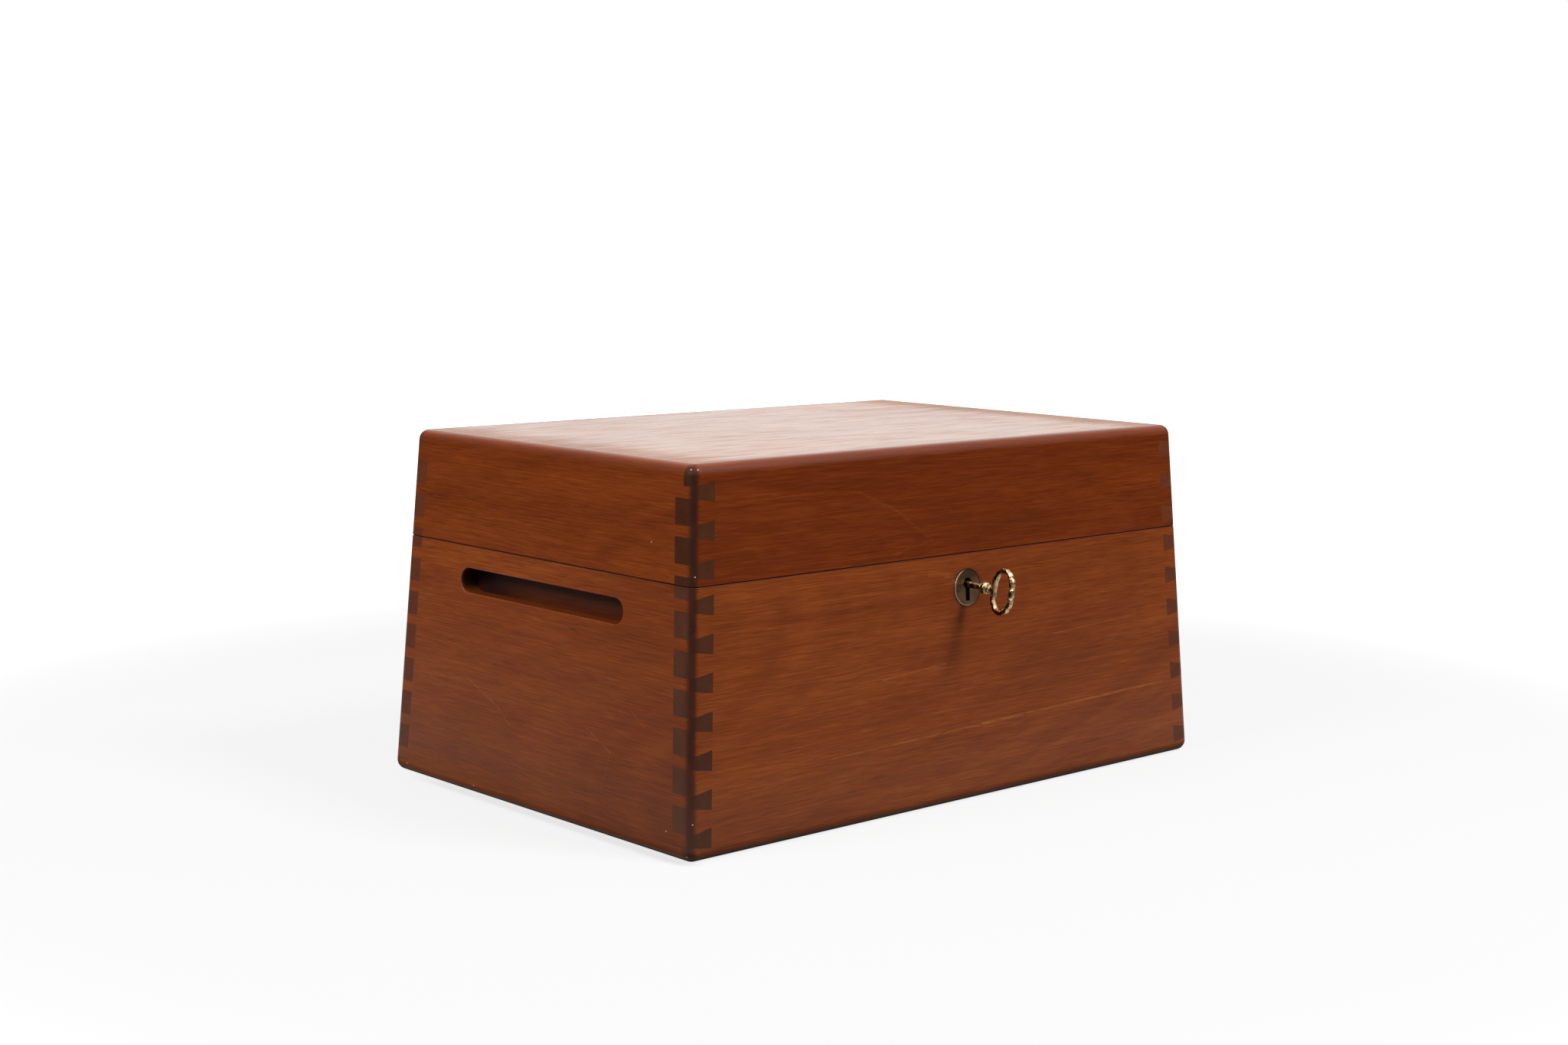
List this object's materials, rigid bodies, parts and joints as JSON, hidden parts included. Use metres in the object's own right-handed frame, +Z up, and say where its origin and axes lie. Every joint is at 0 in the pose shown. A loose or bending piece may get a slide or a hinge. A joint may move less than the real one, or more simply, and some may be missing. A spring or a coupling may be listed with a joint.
{
  "type": "liquor box",
  "caption": "Dovetailed hardwood box with leaning walls, a hinged lid on a slotted stay, a box lock with key, grip pockets and bottle dividers.",
  "frame": {"origin": "centre of the flat underside, on the surface that the box stands on", "axes": "+X along the length, -Y out of the front with the key, +Z up"},
  "size_m": [0.5074, 0.3824, 0.255],
  "materials": {
    "case_front_board": "satin varnished hardwood",
    "case_back_board": "satin varnished hardwood",
    "case_left_board": "satin varnished hardwood",
    "case_right_board": "satin varnished hardwood",
    "bottom_panel": "satin varnished hardwood",
    "bottom_screws": "plain steel",
    "lid_front_board": "satin varnished hardwood",
    "lid_back_board": "satin varnished hardwood",
    "lid_left_board": "satin varnished hardwood",
    "lid_right_board": "satin varnished hardwood",
    "top_panel": "satin varnished hardwood",
    "hinge_screws_case": "aged brass",
    "hinge_screws_lid": "aged brass",
    "stay_arm": "aged brass",
    "stay_lid_stud": "aged brass",
    "stay_case_stud": "aged brass",
    "stay_lid_collar": "aged brass",
    "stay_case_collar": "aged brass",
    "lock_plate": "aged brass",
    "lock_case": "plain steel",
    "lock_guides": "plain steel",
    "lock_bolt": "plain steel",
    "lock_spring": "plain steel",
    "lock_drill_pin": "plain steel",
    "lock_screws": "aged brass",
    "link_plate": "aged brass",
    "link_staples": "aged brass",
    "link_screws": "aged brass",
    "escutcheon": "aged brass",
    "escutcheon_nails": "aged brass",
    "key": "aged brass",
    "left_hinge_case_leaf": "aged brass",
    "left_hinge_lid_leaf": "aged brass",
    "left_hinge_pin": "aged brass",
    "right_hinge_case_leaf": "aged brass",
    "right_hinge_lid_leaf": "aged brass",
    "right_hinge_pin": "aged brass",
    "front_long_divider": "plain thin boards",
    "back_long_divider": "plain thin boards",
    "short_divider_1": "plain thin boards",
    "short_divider_2": "plain thin boards",
    "short_divider_3": "plain thin boards"
  },
  "bodies": {
    "case": {"case_front_board": "case_front_board", "case_back_board": "case_back_board", "case_left_board": "case_left_board", "case_right_board": "case_right_board", "bottom_panel": "bottom_panel", "bottom_screws": "bottom_screws", "hinge_screws_case": "hinge_screws_case", "stay_case_stud": "stay_case_stud", "stay_case_collar": "stay_case_collar", "lock_plate": "lock_plate", "lock_case": "lock_case", "lock_guides": "lock_guides", "lock_spring": "lock_spring", "lock_drill_pin": "lock_drill_pin", "lock_screws": "lock_screws", "escutcheon": "escutcheon", "escutcheon_nails": "escutcheon_nails", "left_hinge_case_leaf": "left_hinge_case_leaf", "left_hinge_pin": "left_hinge_pin", "right_hinge_case_leaf": "right_hinge_case_leaf", "right_hinge_pin": "right_hinge_pin", "front_long_divider": "front_long_divider", "back_long_divider": "back_long_divider", "short_divider_1": "short_divider_1", "short_divider_2": "short_divider_2", "short_divider_3": "short_divider_3"},
    "lid": {"lid_front_board": "lid_front_board", "lid_back_board": "lid_back_board", "lid_left_board": "lid_left_board", "lid_right_board": "lid_right_board", "top_panel": "top_panel", "hinge_screws_lid": "hinge_screws_lid", "left_hinge_lid_leaf": "left_hinge_lid_leaf", "right_hinge_lid_leaf": "right_hinge_lid_leaf", "stay_lid_stud": "stay_lid_stud", "stay_lid_collar": "stay_lid_collar", "link_plate": "link_plate", "link_staples": "link_staples", "link_screws": "link_screws"},
    "stay_arm": {"stay_arm": "stay_arm"},
    "lock_bolt": {"lock_bolt": "lock_bolt"},
    "key": {"key": "key"}
  },
  "joints": [
    {"name": "lid_hinge", "type": "hinge", "parent": "case", "child": "lid", "pos_m": [0, 0.16482, 0.177], "axis": [-1, 0, 0], "range_deg": [0, 95]},
    {"name": "stay_swing", "type": "hinge", "parent": "lid", "child": "stay_arm", "pos_m": [0.222, 0.08542, 0.18675], "axis": [-1, 0, 0], "range_deg": [-47.5, 0]},
    {"name": "key_turn", "type": "hinge", "parent": "case", "child": "key", "pos_m": [0.0076, -0.16476, 0.1555], "axis": [0, 1, 0], "range_deg": [-10, 350]},
    {"name": "bolt_slide", "type": "slide", "parent": "case", "child": "lock_bolt", "axis": [1, 0, 0], "range_m": [-0.00017, 0.00583]}
  ],
  "couplings": [
    {"joint": "stay_swing", "follows": "lid_hinge", "ratio": -0.5},
    {"joint": "bolt_slide", "follows": "key_turn", "m_per_rad": 0.00095493}
  ]
}
